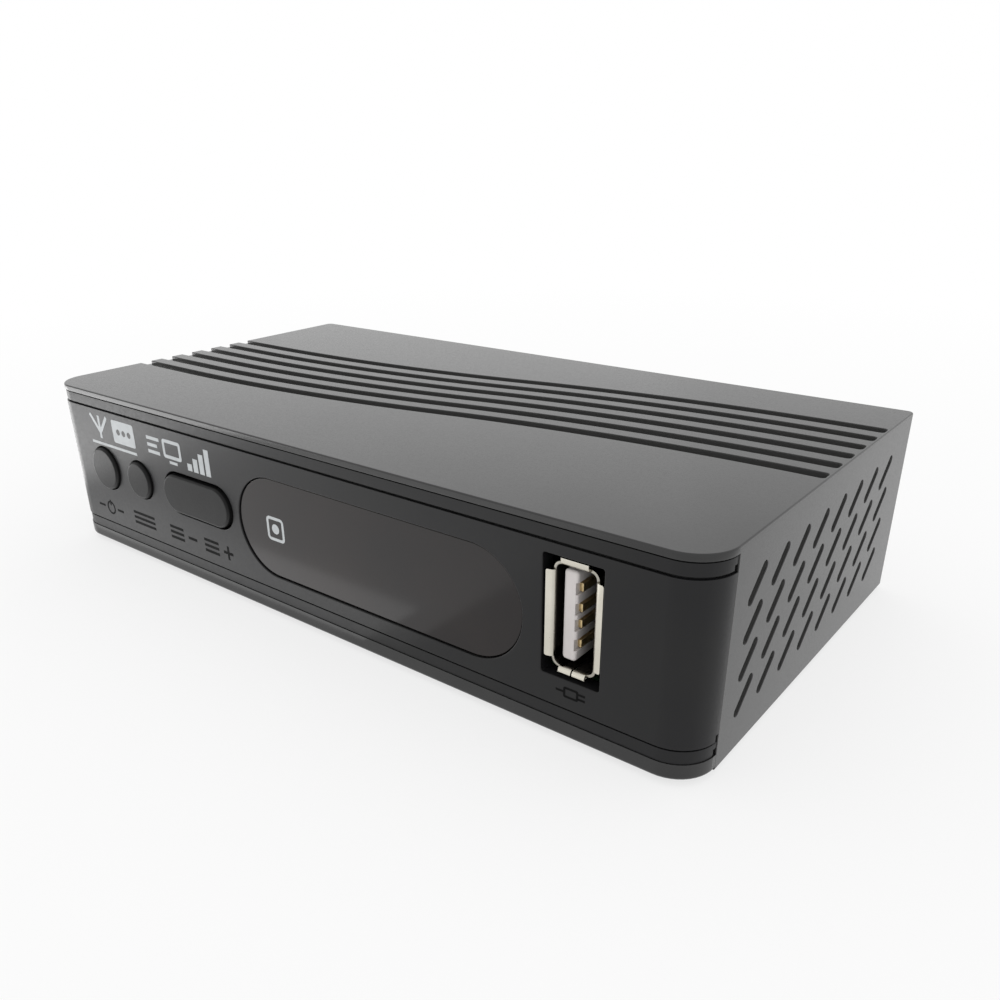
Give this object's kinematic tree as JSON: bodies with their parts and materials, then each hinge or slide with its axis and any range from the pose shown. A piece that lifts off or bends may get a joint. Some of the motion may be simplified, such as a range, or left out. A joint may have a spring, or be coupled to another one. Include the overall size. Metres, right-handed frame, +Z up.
{
  "type": "terrestrial tv receiver",
  "caption": "Shallow black set-top receiver with grooved cover, vented sides, dark display window, push keys, a front data socket and rear aerial and video sockets.",
  "frame": {"origin": "middle of the part's box from above, at the level that the feet stand on", "axes": "+Z up, the front panel faces -Y, +X to the right seen from the front"},
  "size_m": [0.12, 0.0738, 0.0276],
  "materials": {
    "cover_plastic": "fine spark texture",
    "panel_plastic": "satin",
    "smoked_lens": "polished, smoked",
    "key_plastic": "satin gloss",
    "black_plastic": "moulded",
    "white_plastic": "moulded",
    "red_resin": "clear tinted",
    "board_laminate": "solder mask",
    "pad_rubber": "soft",
    "sink_aluminium": "extruded",
    "bright_steel": "plated",
    "dark_steel": "blackened",
    "sleeve_film": "shrunk sleeve",
    "ferrite": "sintered",
    "tin_plate": "tinned",
    "nickel": "nickel plated",
    "gilt": "gilt",
    "foot_rubber": "matt"
  },
  "bodies": {
    "case": {"top_cover": "cover_plastic", "base_plate": "cover_plastic", "front_panel": "panel_plastic", "rear_panel": "cover_plastic", "display_window": "smoked_lens", "power_switch": "black_plastic", "menu_switch": "black_plastic", "channel_down_switch": "black_plastic", "channel_up_switch": "black_plastic", "display_board": "board_laminate", "digit_display": "white_plastic", "infrared_receiver": "black_plastic", "standby_light": "red_resin", "board_link": "black_plastic", "main_board": "board_laminate", "processor": "black_plastic", "thermal_pad": "pad_rubber", "heat_sink": "sink_aluminium", "memory_chip": "black_plastic", "flash_chip": "black_plastic", "regulators": "black_plastic", "crystal": "bright_steel", "capacitors": "sleeve_film", "power_coils": "ferrite", "tuner_can": "tin_plate", "tuner_lid": "tin_plate", "data_socket_shell": "nickel", "data_socket_insulator": "white_plastic", "data_socket_contacts": "gilt", "aerial_barrel": "nickel", "aerial_insulator": "white_plastic", "aerial_contact": "gilt", "loop_barrel": "nickel", "loop_insulator": "white_plastic", "loop_pin": "gilt", "video_socket_shell": "nickel", "video_socket_insulator": "black_plastic", "video_socket_contacts": "gilt", "av_jack": "black_plastic", "inlet_body": "black_plastic", "inlet_pin": "bright_steel", "inlet_spring": "bright_steel", "case_screws": "dark_steel", "board_screws": "bright_steel", "rubber_feet": "foot_rubber"},
    "power_key": {"power_button": "key_plastic", "power_plunger": "white_plastic"},
    "menu_key": {"menu_button": "key_plastic", "menu_plunger": "white_plastic"},
    "channel_key": {"channel_rocker": "key_plastic"},
    "channel_down_key": {"channel_down_plunger": "white_plastic"},
    "channel_up_key": {"channel_up_plunger": "white_plastic"}
  },
  "joints": [
    {"name": "power_press", "type": "slide", "parent": "case", "child": "power_key", "axis": [0, 1, 0], "range_m": [0, 0.0005], "stiffness_N_per_m": 400},
    {"name": "menu_press", "type": "slide", "parent": "case", "child": "menu_key", "axis": [0, 1, 0], "range_m": [0, 0.0005], "stiffness_N_per_m": 400},
    {"name": "channel_tilt", "type": "hinge", "parent": "case", "child": "channel_key", "pos_m": [-0.02275, -0.03275, 0.0148], "axis": [0, 0, 1], "range_deg": [-2.5, 2.5], "stiffness_Nm_per_rad": 0.02},
    {"name": "channel_down_slide", "type": "slide", "parent": "case", "child": "channel_down_key", "axis": [0, 1, 0], "range_m": [-0.00024, 0.00024]},
    {"name": "channel_up_slide", "type": "slide", "parent": "case", "child": "channel_up_key", "axis": [0, 1, 0], "range_m": [-0.00024, 0.00024]}
  ],
  "couplings": [
    {"joint": "channel_down_slide", "follows": "channel_tilt", "m_per_rad": -0.005},
    {"joint": "channel_up_slide", "follows": "channel_tilt", "m_per_rad": 0.005}
  ]
}
